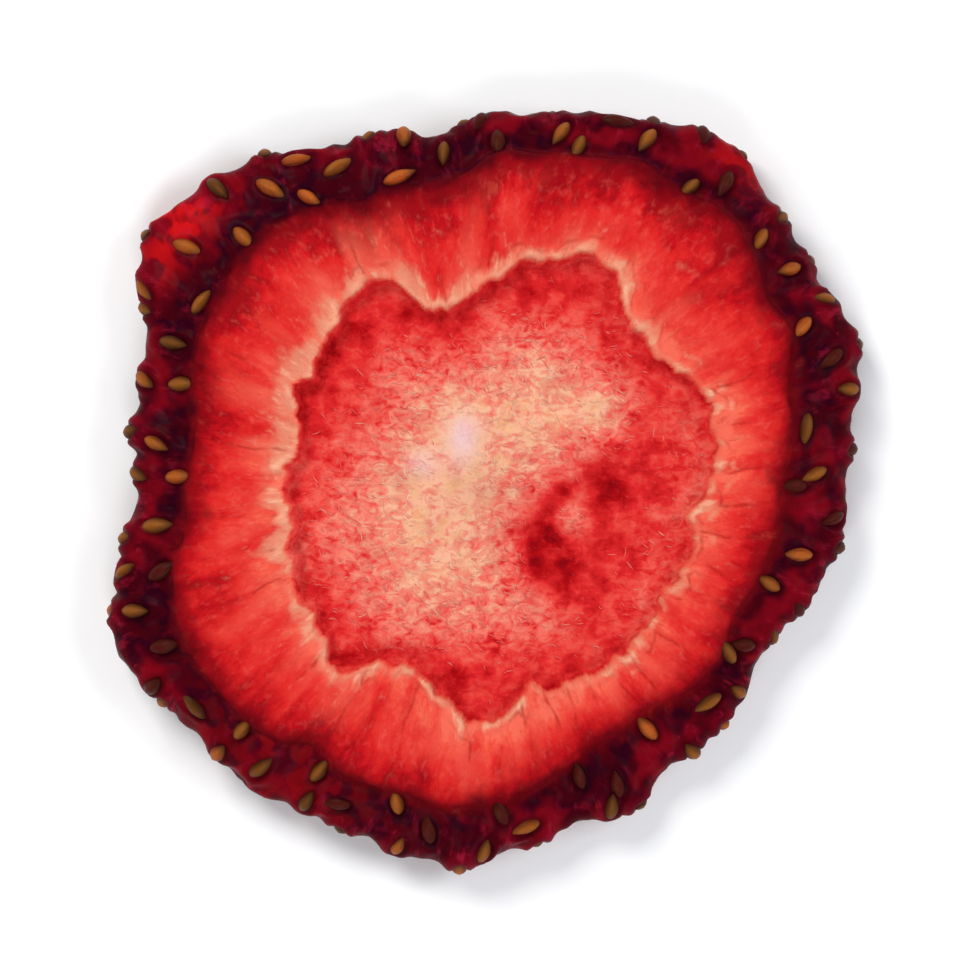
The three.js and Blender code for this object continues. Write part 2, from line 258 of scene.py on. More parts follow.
def radius_at(outline, azimuth):
    """The radius of a closed outline at each azimuth: a smooth curve through its points."""
    at, radius = np.array(outline, float).T
    n = len(at)
    a = np.asarray(azimuth, float) % 360
    last = np.searchsorted(at, a, side="right") - 1

    def point(k):
        return at[k % n] + 360 * (k // n), radius[k % n]

    (a0, r0), (a1, r1), (a2, r2), (a3, r3) = (point(last + k) for k in (-1, 0, 1, 2))

    def slope(pa, pr, qa, qr, sa, sr):
        return ((sr - qr) / (sa - qa) * (qa - pa) + (qr - pr) / (qa - pa) * (sa - qa)) / (sa - pa)

    h = a2 - a1
    m1 = slope(a0, r0, a1, r1, a2, r2) * h
    m2 = slope(a1, r1, a2, r2, a3, r3) * h
    return hermite((a - a1) / h, r1, m1, r2, m2)


def catmull_rom(points, samples=600):
    """A centripetal Catmull-Rom curve through the points, at equal steps of its length."""
    p = np.array(points, float)
    p = np.vstack([2 * p[0] - p[1], p, 2 * p[-1] - p[-2]])
    curve = []
    per_span = samples // (len(points) - 1)
    for p0, p1, p2, p3 in zip(p, p[1:], p[2:], p[3:]):
        d0, d1, d2 = (np.linalg.norm(b - a) ** 0.5 for a, b in ((p0, p1), (p1, p2), (p2, p3)))
        m1 = ((p1 - p0) / d0 - (p2 - p0) / (d0 + d1) + (p2 - p1) / d1) * d1
        m2 = ((p2 - p1) / d1 - (p3 - p1) / (d1 + d2) + (p3 - p2) / d2) * d1
        curve.append(hermite(np.linspace(0, 1, per_span, endpoint=False)[:, None], p1, m1, p2, m2))
    curve = np.vstack([*curve, p[-2:-1]])
    length = np.r_[0, np.cumsum(np.linalg.norm(np.diff(curve, axis=0), axis=1))]
    return curve, length / length[-1]


WALL_CURVE, WALL_SHARES = catmull_rom(WALL_PROFILE)


def wall_profile(share):
    return [np.interp(share, WALL_SHARES, WALL_CURVE[:, k]) for k in (0, 1)]


def ring_sway(azimuth):
    """How far the vein ring's fine waves leave its plain outline."""
    angle = np.radians(azimuth)
    return sum(reach * np.sin(waves * angle + start) for waves, reach, start in RING_WAVES)


def face_height(azimuth, r):
    """The height of the upper cut face."""
    angle = np.radians(azimuth)
    x, y = r * np.cos(angle), r * np.sin(angle)
    ring = radius_at(VEIN_RING, azimuth) + ring_sway(azimuth)
    edge = radius_at(CUT_OUTLINE, azimuth)
    warp = WARP_RISE * np.cos(2 * (angle - math.radians(WARP_AZIMUTH))) * (r / WARP_REACH) ** 2
    outside = r - ring
    step = smoothstep(-outside / PITH_FOOT)
    pith = RIDGE_RISE * (1 - step) - PITH_DROP * step + step * forms_at(x, y, PITH_FORMS)
    share = np.clip(outside / (edge - ring), 0, 1)
    cortex = (RIDGE_RISE * (1 - smoothstep(outside / RIDGE_WIDTH))
              + PILLOW_RISE * np.sin(np.pi * share**0.9) - EDGE_DROP * share**4)
    return FACE_HEIGHT + warp + np.where(outside < 0, pith, cortex)


def lower_edge(azimuth):
    cut = radius_at(CUT_OUTLINE, azimuth)
    return cut + WALL_PROFILE[-1][0] * (radius_at(SKIN_OUTLINE, azimuth) - cut)


def underside_height(azimuth, r):
    """The height of the lower cut face: flat in the middle, lifting a little towards its edge."""
    ring = LOWER_RING_SCALE * radius_at(VEIN_RING, azimuth)
    flat = FLAT_SHARE * ring
    lift = LOWER_EDGE * np.maximum(0, (r - flat) / (lower_edge(azimuth) - flat)) ** 2
    return lift + LOWER_GROOVE * bump(r - ring, RIDGE_WIDTH) * smoothstep((r - flat) / RIDGE_WIDTH)


def polar(azimuth, r, z):
    angle = np.radians(azimuth)
    return np.stack([r * np.cos(angle), r * np.sin(angle), z * np.ones_like(angle)], axis=-1)


def wall_point(azimuth, share):
    """A point of the skin's wall: share 0 is the upper cut edge, and 1 the lower one."""
    cut, skin = radius_at(CUT_OUTLINE, azimuth), radius_at(SKIN_OUTLINE, azimuth)
    out, up = wall_profile(share)
    return polar(azimuth, cut + out * (skin - cut), LOWER_EDGE + up * (face_height(azimuth, cut) - LOWER_EDGE))


def unit(vectors):
    return vectors / np.linalg.norm(vectors, axis=-1, keepdims=True)


def wall_axes(azimuth, share):
    """At a point of the wall: the directions up it, round it and out of it."""
    up = unit(wall_point(azimuth, share - 0.04) - wall_point(azimuth, share + 0.04))
    side = unit(wall_point(azimuth + 1, share) - wall_point(azimuth - 1, share))
    out = unit(np.cross(side, up))
    return up, np.cross(out, up), out


def random_from(seed):
    """Evenly spread numbers from 0 to 1, the same each run."""
    state = seed
    while True:
        state = (state * 16807) % 2147483647
        yield state / 2147483647


Place = namedtuple("Place", "point up side out turn size azimuth share")


def achene_places():
    """Where each achene stands on the wall, drawn in the same order as on the solid."""
    draws = random_from(ACHENE_SEED)
    whole = np.arange(361)
    outline = polar(whole, radius_at(SKIN_OUTLINE, whole), 0)
    lengths = np.r_[0, np.cumsum(np.linalg.norm(np.diff(outline, axis=0), axis=1))]
    count = round(lengths[-1] / ROW_SPACING)
    spacing = lengths[-1] / count
    places = []
    for row, row_share in enumerate(ROW_SHARES):
        for k in range(count):
            step = k + ROW_START + (row % 2) / 2 + SCATTER_ALONG / spacing * (2 * next(draws) - 1)
            share = row_share + SCATTER_ACROSS * (2 * next(draws) - 1)
            across = 90 if next(draws) < LYING_ACROSS else 0
            turn = math.radians(across + SCATTER_TURN * (2 * next(draws) - 1))
            size = 1 + SCATTER_SIZE * (2 * next(draws) - 1)
            azimuth = float(np.interp(step % count * spacing, lengths, whole))
            up, side, out = wall_axes(azimuth, share)
            places.append(Place(wall_point(azimuth, share), up, side, out, turn, size, azimuth, share))
    return places


# ---- Relief finer than the solid's ----

def grain(points, size, octaves=3, shift=0.0):
    """Cloudy noise of about -1 to 1 at each point, with features of that size."""
    scaled = np.asarray(points, float) / size + shift
    return np.array([noise.fractal(p, 1.0, 2.0, octaves) for p in scaled.reshape(-1, 3).tolist()])


def folds(points, size, octaves=3, shift=0.0):
    """Narrow-crested folds of 0 to 1 at each point."""
    return 1 - np.minimum(1, 2.2 * np.hypot(grain(points, size, octaves, shift), 0.07))


def uneven(points, size, octaves, shift, middle, reach, least, most):
    """A value that noise takes up or down from its middle, kept between its limits."""
    return np.clip(middle + reach * grain(points, size, octaves, shift), least, most)


def distance_to_outline(radius, points):
    """The distance from points to a closed outline, seen from above: positive outside it.

    radius is a function that gives the outline's radius at each azimuth."""
    azimuth = np.arange(0, 360, 0.5)
    line = polar(azimuth, radius(azimuth), 0)[:, :2]
    flat = points[:, :2]
    nearest = np.concatenate([
        np.sqrt(((part[:, None] - line[None]) ** 2).sum(-1).min(1)) for part in np.array_split(flat, 40)
    ])
    at, r = polar_of(*flat.T)
    return np.where(r > radius(at), nearest, -nearest)


def crease_marks(azimuth, r, share):
    """How far each point is from the nearest radial crease, and how deep that crease is there, from 0 to 1."""
    nearest = np.full_like(r, 2.0)
    depth = np.zeros_like(r)
    for k, (centre, start, stop) in enumerate(CREASES):
        turn = turn_from(azimuth, centre)
        across = r * np.radians(turn)
        for reach, rate, phase in CREASE_WAVES:
            across += reach * np.sin(rate * r + phase * k)
        ends = smoothstep((share - start) / 0.12) * smoothstep((stop - share) / 0.25)
        closer = (np.abs(turn) < 20) & (np.abs(across) < np.abs(nearest)) & (ends > 0.01)
        nearest = np.where(closer, across, nearest)
        depth = np.where(closer, ends, depth)
    return nearest, depth * smoothstep((0.32 - np.abs(nearest)) / 0.14)


def vein_radius(azimuth):
    """The vein ring's radius. It wanders a little outwards at the left and inwards at the lower right."""
    return radius_at(VEIN_RING, azimuth) + ring_sway(azimuth) + around(azimuth, RING_WANDER)


def cut_radius(azimuth):
    return radius_at(CUT_OUTLINE, azimuth)


def radial_grain(azimuth, r):
    """Coordinates in which noise runs out from the middle in streaks."""
    return polar(azimuth, STREAK_RADIUS, STREAK_RATE * r)


Bands = namedtuple("Bands", "pale rim lumps rise")


def ring_bands(azimuth, outside):
    """The vein ring's pale beads, for points at that distance outside the ring.

    pale is how pale each point is, rim its distance outside the beads' outer side, lumps how strongly the painted
    shadow lines along the beads' sides show there, and rise how far they stand up. All but rim go from 0 to 1."""
    along = radial_grain(azimuth, 0)
    wide = around(azimuth, RING_WIDE)
    broken = around(azimuth, RING_BROKEN)
    broader = 0.3 + 0.5 * wide + around(azimuth, RING_BROADER)
    width = uneven(along, 1.5, 3, 2.0, middle=broader, reach=0.8, least=0.15, most=1.1)
    clear = 0.8 + 0.2 * wide - around(azimuth, RING_FAINTER)
    strength = uneven(along, 0.7, 2, 5.0, middle=clear, reach=0.9, least=0.35, most=1)
    strength *= 1 - broken * uneven(along, 0.6, 2, 31.0, middle=-0.1, reach=2.6, least=0, most=0.55)
    ragged = uneven(along, 0.4, 2, 11.0, middle=0.4, reach=1.5, least=0, most=1.5)
    soft = 0.62 * width + 0.05 + 0.2 * (1 - broken) * ragged
    beads = strength * bump(np.maximum(outside - 0.3 * width, 0), soft)
    reach = uneven(along, 0.45, 2, 21.0, middle=0.75 + 0.4 * wide, reach=1.6, least=0.25, most=2.0)
    rays = 0.24 * (1 - 0.2 * broken) * (1 - smoothstep(outside / reach))
    inner = smoothstep((outside + 0.08) / 0.16)
    pale = inner * (beads + rays * (0.3 + 0.7 * strength) * (1 - beads))
    second_line = 0.7 * broken * bump(outside - 0.75, 0.14) * np.clip(1.6 * strength - 0.6, 0, 1)
    lumps = uneven(along, 0.55, 2, 3.0, middle=0.55, reach=1.2, least=0, most=1)
    risen = uneven(along, 0.7, 2, 5.0, middle=0.5, reach=1.1, least=0, most=1)
    return Bands(
        pale=np.clip(np.maximum(pale, second_line), 0, 1),
        rim=outside - width,
        lumps=lumps * (0.45 + 0.55 * broken),
        rise=bump(outside - 0.22, 0.16 + 0.2 * width) * risen,
    )


def upper_relief(points, settings):
    """The fine relief of the upper cut face, in millimetres."""
    azimuth, r = polar_of(points[:, 0], points[:, 1])
    ring, edge = vein_radius(azimuth), cut_radius(azimuth)
    share = (r - ring) / (edge - ring)
    across, depth = crease_marks(azimuth, r, share)
    inside = smoothstep((ring - r) / 0.5)
    flat = points * [1, 1, 0]
    flesh = (1 - inside) * smoothstep((1 - share) / 0.1)
    height = -settings.crease_depth * depth * bump(across, CREASE_REACH)
    height += STREAK_RISE * grain(radial_grain(azimuth, r), 0.9, 3) * flesh * smoothstep((r - ring) / 0.4)
    height += GRAIN_RISE * grain(flat, 0.7, 3, 7.3)
    height += inside * settings.pith_relief * grain(flat, 1.3, 4, 3.1)
    height += settings.bead_height * ring_bands(azimuth, r - ring).rise
    return height


def upper_point(x, y, settings):
    """Points of the finished upper face above the places x, y, and the relief in them."""
    points = np.stack([x, y, face_height(*polar_of(x, y))], axis=-1)
    relief = upper_relief(points, settings)
    points[:, 2] += relief
    return points, relief


def pith_paleness(x, y):
    """How much paler than its red margin the pith is at the places x, y."""
    return np.clip(forms_at(x, y, PALE_PATCHES) - forms_at(x, y, DEEP_PATCHES), -0.2, 1)


def achene_nearness(points, places):
    """How far each point is from the nearest achene, in lengths of that achene's own oval, 1 at its rim.

    Also how far it lies to the right and front of that achene, the side on which its painted shadow falls, and
    how far the achene is lifted."""
    nearest = np.full(len(points), 99.0)
    shadow_side = np.zeros(len(points))
    lift = np.zeros(len(points))
    length, width = ACHENE_LENGTH / 2, ACHENE_WIDTH / 2
    for place in places:
        away = points - place.point
        up, side, out = (away @ axis for axis in (place.up, place.side, place.out))
        c, s = math.cos(place.turn), math.sin(place.turn)
        ahead, aside = (c * up + s * side) / length, (c * side - s * up) / width
        oval = np.sqrt(ahead**2 + aside**2 + (out / length) ** 2)
        shadow_side = np.where(oval < nearest, (away[:, 0] - away[:, 1]) * 0.7, shadow_side)
        lift = np.maximum(lift, achene_lift(place.azimuth, place.share) * bump(oval, 1.7))
        nearest = np.minimum(nearest, oval)
    return nearest, shadow_side, lift


def swell(share):
    """How far the skin swells out at its widest line, in millimetres."""
    return SWELL_RISE * bump(share - WIDEST_SHARE, SWELL_REACH)


def calm(azimuth):
    """How smooth the skin's rim is, from 0 to 1: it is smoothest at the back."""
    return np.max([around(azimuth, [place]) for place in CALM_RIM], axis=0)


def achene_lift(azimuth, share):
    """How far the mound under an achene lifts it out of the skin around it, in millimetres."""
    first, second = (np.radians(turns * azimuth) for turns in MOUND_TURNS)
    more = MOUND_MORE * (0.5 + 0.5 * np.sin(first) * np.cos(second))
    return (MOUND_LEAST + more) * (1 - 0.9 * calm(azimuth)) * bump(share - WIDEST_SHARE, MOUND_REACH)


def skin_relief(azimuth, share, nearness, lift, settings):
    """How far the wrinkled skin stands out of the plain wall, in millimetres."""
    along = polar(azimuth, SKIN_RADIUS, SKIN_LENGTH * share)
    mound = bump(nearness, 2.3)
    rough = 1 - 0.6 * calm(azimuth)
    sink = settings.skin_sink * (1 - mound) * rough
    seat = SEAT_DEPTH * bump(nearness, 0.6)
    collar = COLLAR_RISE + COLLAR_MORE * bump(share - LOW_SHARE, LOW_REACH)
    collar *= rough * bump(nearness - 1.2, 0.5)
    wrinkles = settings.wrinkle_depth * (folds(along * [1.0, 1.0, 0.55], 1.7, 2, 5.0) - 0.4) * (1 - 0.7 * mound)
    pores = SKIN_GRAIN * grain(along, 0.8, 2, 9.0) * (1 - 0.5 * mound)
    ends = smoothstep(share / 0.12) * smoothstep((1 - share) / 0.1)
    return (-sink + (lift - seat) + collar + wrinkles + pores + swell(share)) * ends


# ---- Mesh building ----

def start_mesh(piece=None):
    """Out of edit mode, with nothing selected, or only that piece."""
    if bpy.context.object and bpy.context.object.mode != "OBJECT":
        bpy.ops.object.mode_set(mode="OBJECT")
    bpy.ops.object.select_all(action="DESELECT")
    if piece:
        piece.select_set(True)
        bpy.context.view_layer.objects.active = piece


def coordinates(mesh):
    flat = np.empty(len(mesh.vertices) * 3)
    mesh.vertices.foreach_get("co", flat)
    return flat.reshape(-1, 3)


def set_coordinates(mesh, points):
    mesh.vertices.foreach_set("co", np.ascontiguousarray(points, float).ravel())
    mesh.update()


def add_marks(mesh, **marks):
    """Stores one number or one vector for each vertex, by name."""
    for name, values in marks.items():
        values = np.asarray(values, float)
        kind, field = ("FLOAT", "value") if values.ndim == 1 else ("FLOAT_VECTOR", "vector")
        mesh.attributes.new(name, kind, "POINT").data.foreach_set(field, values.ravel())


def finish_piece(piece, name, material):
    piece.name = name
    piece.data.name = name
    piece.data.materials.clear()
    piece.data.materials.append(material)
    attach(piece, BODY)


def disc(u, v):
    """A square from -1 to 1 onto the unit disc: azimuth and share of the radius."""
    azimuth, share = polar_of(u * np.sqrt(1 - v * v / 2), v * np.sqrt(1 - u * u / 2))
    return azimuth, np.minimum(1, share)


def slice_cage(cells, wall_rings):
    """A square box: a fine grid on top, rings of a unit each down its wall, and a half as fine grid below."""
    start_mesh()
    bpy.ops.mesh.primitive_grid_add(x_subdivisions=cells, y_subdivisions=cells, size=2)
    cage = bpy.context.object
    bpy.ops.object.mode_set(mode="EDIT")
    bpy.ops.mesh.select_mode(type="EDGE")
    bpy.ops.mesh.select_all(action="SELECT")
    bpy.ops.mesh.region_to_loop()
    for _ in range(wall_rings):
        bpy.ops.mesh.extrude_region_move(TRANSFORM_OT_translate={"value": (0, 0, -1)})
    bpy.ops.mesh.select_all(action="DESELECT")
    half = cells // 2
    bpy.ops.mesh.primitive_grid_add(
        x_subdivisions=half, y_subdivisions=half, size=2, location=(0, 0, -wall_rings - 1)
    )
    bpy.ops.mesh.region_to_loop()
    built = bmesh.from_edit_mesh(cage.data)
    for edge in built.edges:
        if all(abs(vertex.co.z + wall_rings) < 0.5 for vertex in edge.verts):
            edge.select = True
    bmesh.update_edit_mesh(cage.data)
    bpy.ops.mesh.bridge_edge_loops()
    bpy.ops.mesh.select_all(action="SELECT")
    bpy.ops.mesh.normals_make_consistent(inside=False)
    bpy.ops.object.mode_set(mode="OBJECT")
    bpy.ops.object.shade_smooth()
    return cage


def soften(piece, chosen, times):
    """Smooths the chosen vertices of a piece."""
    start_mesh(piece)
    bpy.ops.object.mode_set(mode="EDIT")
    bpy.ops.mesh.select_mode(type="VERT")
    bpy.ops.mesh.select_all(action="DESELECT")
    bpy.ops.object.mode_set(mode="OBJECT")
    piece.data.vertices.foreach_set("select", chosen)
    bpy.ops.object.mode_set(mode="EDIT")
    bpy.ops.mesh.vertices_smooth(factor=0.5, repeat=times)
    bpy.ops.object.mode_set(mode="OBJECT")


def turn_to_x():
    """Turns the whole mesh that is being edited from Z to X."""
    bpy.ops.mesh.select_all(action="SELECT")
    bpy.ops.transform.rotate(value=math.pi / 2, orient_axis="Y", center_override=(0, 0, 0))


def repeat_model(model, placed, name):
    """A smooth mesh object with the model's faces once for each set of placed points; the model is removed."""
    faces = [tuple(face.vertices) for face in model.data.polygons]
    size = len(model.data.vertices)
    bpy.data.objects.remove(model)
    mesh = bpy.data.meshes.new(name)
    mesh.from_pydata(
        np.concatenate(placed) * MM,
        [],
        [tuple(v + k * size for v in face) for k in range(len(placed)) for face in faces],
    )
    made = bpy.data.objects.new(name, mesh)
    bpy.context.scene.collection.objects.link(made)
    start_mesh(made)
    bpy.ops.object.shade_smooth()
    return made


# ---- Settings ----

def linear(code):
    """A colour written as six hexadecimal digits, as Blender's linear red, green and blue."""
    parts = [int(code[k:k + 2], 16) / 255 for k in (0, 2, 4)]
    return [p / 12.92 if p <= 0.04045 else ((p + 0.055) / 1.055) ** 2.4 for p in parts]


def colour_setting(name, description, code):
    return bpy.props.FloatVectorProperty(
        name=name, description=description, default=linear(code), size=3, min=0, max=1, subtype="COLOR"
    )


def length_setting(name, description, millimetres):
    return bpy.props.FloatProperty(
        name=name, description=description + ", in millimetres", default=millimetres, min=0,
        soft_max=5 * millimetres, unit="NONE",
    )


def whole_setting(name, description, number, least, most):
    return bpy.props.IntProperty(name=name, description=description, default=number, min=least, max=most)


def stage_length(name, description, metres):
    return bpy.props.FloatProperty(
        name=name, description=description, default=metres, min=0.001, unit="LENGTH"
    )


def power_setting(name, description, watts):
    return bpy.props.FloatProperty(name=name, description=description + ", in watts", default=watts, min=0)


class SliceShape(bpy.types.PropertyGroup):
    cells: whole_setting("Grid Cells", "Cells along each side of the upper face's grid", 216, 8, 300)
    wall_rings: whole_setting("Wall Rings", "Rings of faces down the skin's wall", 28, 4, 60)
    crease_depth: length_setting("Crease Depth", "Depth of the flesh's radial creases", 0.055)
    pith_relief: length_setting("Pith Relief", "Height of the pith's soft lumps", 0.16)
    bead_height: length_setting("Bead Height", "Height of the vein ring's beads", 0.2)
    skin_sink: length_setting("Skin Sink", "How far the skin shrinks back between achenes", 0.15)
    wrinkle_depth: length_setting("Wrinkle Depth", "Depth of the skin's wrinkles", 0.18)


class FleshFinish(bpy.types.PropertyGroup):
    ring: colour_setting("Vein Ring", "The pale ring of veins", "e6a384")
    inner_flesh: colour_setting("Inner Flesh", "Flesh beside the vein ring", "e4644f")
    flesh: colour_setting("Flesh", "Flesh half way to the skin", "d02523")
    outer_flesh: colour_setting("Outer Flesh", "Flesh near the skin", "b61119")
    # Painted shade on the vein ring's lower places, and a darker tone at random in it.
    ring_shade: colour_setting("Vein Ring Shade", "The lower places of the vein ring", "cb6a52")
    # Painted shade in the flesh's creases, along the vein ring's sides and in the cut face's low places.
    crease_shade: colour_setting("Crease Shade", "Creases of the flesh and shadowed sides of the ring", "9c1815")
    pith_deep: colour_setting("Pith Deep", "The pith's deepest hollows", "a60c12")
    pith_margin: colour_setting("Pith Margin", "The pith's red margin", "cf2628")
    pith_pink: colour_setting("Pith Pink", "The pith's mottled middle tone", "e26b5d")
    pith_cream: colour_setting("Pith Cream", "The pith's palest tone", "e49f82")
    # Painted highlight: the glare on the pith's middle, painted into the colour.
    pith_glare: colour_setting("Pith White", "The dry white place in the pith's middle", "e4c0c0")
    skin_dark: colour_setting("Dark Skin", "The shrunken skin", "3e030e")
    skin_purple: colour_setting("Purple Skin", "The skin's bluish places", "2c0313")
    skin_red: colour_setting("Red Skin", "The skin where light comes through", "7c0715")
    # Painted light glowing through the skin's thin corners.
    skin_bright: colour_setting("Bright Skin", "The skin's thin corners", "c41216")


class AcheneFinish(bpy.types.PropertyGroup):
    olive: colour_setting("Olive", "The achenes' dull tone", "45270f")
    gold: colour_setting("Gold", "The achenes' usual tone", "763d12")
    orange: colour_setting("Orange", "The achenes' bright tone", "ae4a1e")
    red: colour_setting("Red", "Achenes still covered by skin", "4a0a10")
    # Painted shade low on the achenes' sides, where they sink into the skin.
    foot: colour_setting("Foot", "The achenes' dark rim, where they sink into the skin", "340c0a")


class FibreShape(bpy.types.PropertyGroup):
    count: whole_setting("Count", "Fibres in the pith", 1500, 1, 20000)
    length: length_setting("Length", "Usual length of a fibre", 0.3)
    radius: length_setting("Radius", "Usual radius of a fibre", 0.036)
    seed: whole_setting("Seed", "Seed of the fibres' places", 7, 0, 9999)


class StageSettings(bpy.types.PropertyGroup):
    floor: colour_setting("Floor", "The plain floor", "fafafa")
    frame_width: stage_length("Frame Width", "Width that the camera sees at the cut face", 0.04)
    camera_height: stage_length("Camera Height", "Height of the camera above the cut face", 0.35)
    key_power: power_setting("Key Power", "Main light", 1.5)
    fill_power: power_setting("Fill Power", "Fill lights", 1.0)


# Tones between those of the settings.
# Dark red near the skin, partly the flesh's own tone and partly painted shade, and painted shade on the cut
# edge's lip.
DUSK_AND_LIP_SHADE = linear("52030d")
# Painted shade in the skin's low places and painted shadow round the achenes.
SKIN_PAINTED_SHADE = linear("1c0209")
# Painted highlight on the skin's crests.
SKIN_CREST_HIGHLIGHT = linear("a0122c")
# Painted glints on the skin.
SKIN_GLINT = linear("a81c38")
FLESH_NEAR, FLESH_HALF, FLESH_FAR = linear("df4d3c"), linear("d6352f"), linear("940b14")
FLESH_DOT = linear("e8665a")
BEAD_LIGHT = linear("ecb896")
PITH_DARKEST, PITH_RED = linear("84060f"), linear("db473f")
PITH_ROSE, PITH_PALEST, PITH_YELLOW = linear("e28870"), linear("e8ab8c"), linear("e4ae7c")
# Painted highlights at the achenes' tips and crests.
ACHENE_TIP_HIGHLIGHT, ACHENE_CREST_HIGHLIGHT = linear("9c6a2c"), linear("ae6a2a")
FIBRE_RED, FIBRE_PALE = linear("dc4a42"), linear("ecbc9c")


# ---- Materials ----

class Tree:
    """Adds and links the nodes of one material."""

    def __init__(self, name):
        self.material = bpy.data.materials.new(name)
        self.material.use_nodes = True
        self.nodes = self.material.node_tree.nodes
        self.links = self.material.node_tree.links
        self.nodes.clear()

    def add(self, kind, inputs=None, output=0, **settings):
        made = self.nodes.new("ShaderNode" + kind)
        for name, value in settings.items():
            setattr(made, name, value)
        for socket, value in (inputs or {}).items():
            if isinstance(value, bpy.types.NodeSocket):
                self.links.new(value, made.inputs[socket])
            else:
                made.inputs[socket].default_value = value
        return made.outputs[output] if made.outputs else made

    def number(self, operation, first, second=0.0, clamp=False):
        return self.add("Math", {0: first, 1: second}, operation=operation, use_clamp=clamp)

    def times(self, first, second):
        return self.number("MULTIPLY", first, second)

    def total(self, *values):
        result = values[0]
        for value in values[1:]:
            result = self.number("ADD", result, value)
        return result

    def offset(self, value, reach):
        """A noise of 0 to 1 as a shift of up to reach either way."""
        return self.times(self.number("SUBTRACT", value, 0.5), 2 * reach)

    def mark(self, name, output="Fac"):
        return self.add("Attribute", output=output, attribute_name=name)

    def span(self, value, low, high, to_low=0.0, to_high=1.0):
        """A value from low to high, as a smooth step from to_low to to_high."""
        sockets = {"Value": value, "From Min": low, "From Max": high, "To Min": to_low, "To Max": to_high}
        return self.add("MapRange", sockets, interpolation_type="SMOOTHSTEP")

    def mix(self, share, first, second):
        """From a first to a second colour, each a socket or plain numbers."""
        first, second = (c if isinstance(c, bpy.types.NodeSocket) else (*c, 1) for c in (first, second))
        return self.add("Mix", {0: share, 6: first, 7: second}, output=2, data_type="RGBA")

    def layered(self, base, *layers):
        """The base under layers, each a colour and the spans whose product is its strength."""
        for colour, *spans in layers:
            share = self.span(*spans[0])
            for more in spans[1:]:
                share = self.times(share, self.span(*more))
            base = self.mix(share, base, colour)
        return base

    def ramp(self, factor, stops):
        made = self.nodes.new("ShaderNodeValToRGB")
        self.links.new(factor, made.inputs[0])
        elements = made.color_ramp.elements
        elements[0].position, elements[1].position = stops[0][0], stops[-1][0]
        elements[0].color, elements[1].color = (*stops[0][1], 1), (*stops[-1][1], 1)
        for position, colour in stops[1:-1]:
            elements.new(position).color = (*colour, 1)
        return made.outputs[0]

    def noise(self, vector, scale, detail, roughness, distortion=0.0, turn=0.0, stretch=None):
        """A noise of 0 to 1, on a vector that may first be turned and squeezed along its axes."""
        if stretch:
            turned = {"Vector": vector, "Rotation": (0, 0, math.radians(turn)), "Scale": stretch}
            vector = self.add("Mapping", turned)
        grainy = {"Scale": scale, "Detail": detail, "Roughness": roughness, "Distortion": distortion}
        return self.add("TexNoise", {"Vector": vector, **grainy})

    def finished(self, sockets, relief=None, strength=1.0, distance=MM):
        """The material, ended by a shader with those sockets and that relief."""
        if relief:
            bumped = {"Strength": strength, "Distance": distance, "Height": relief}
            sockets["Normal"] = self.add("Bump", bumped)
        self.add("OutputMaterial", {"Surface": self.add("BsdfPrincipled", sockets)})
        return self.material


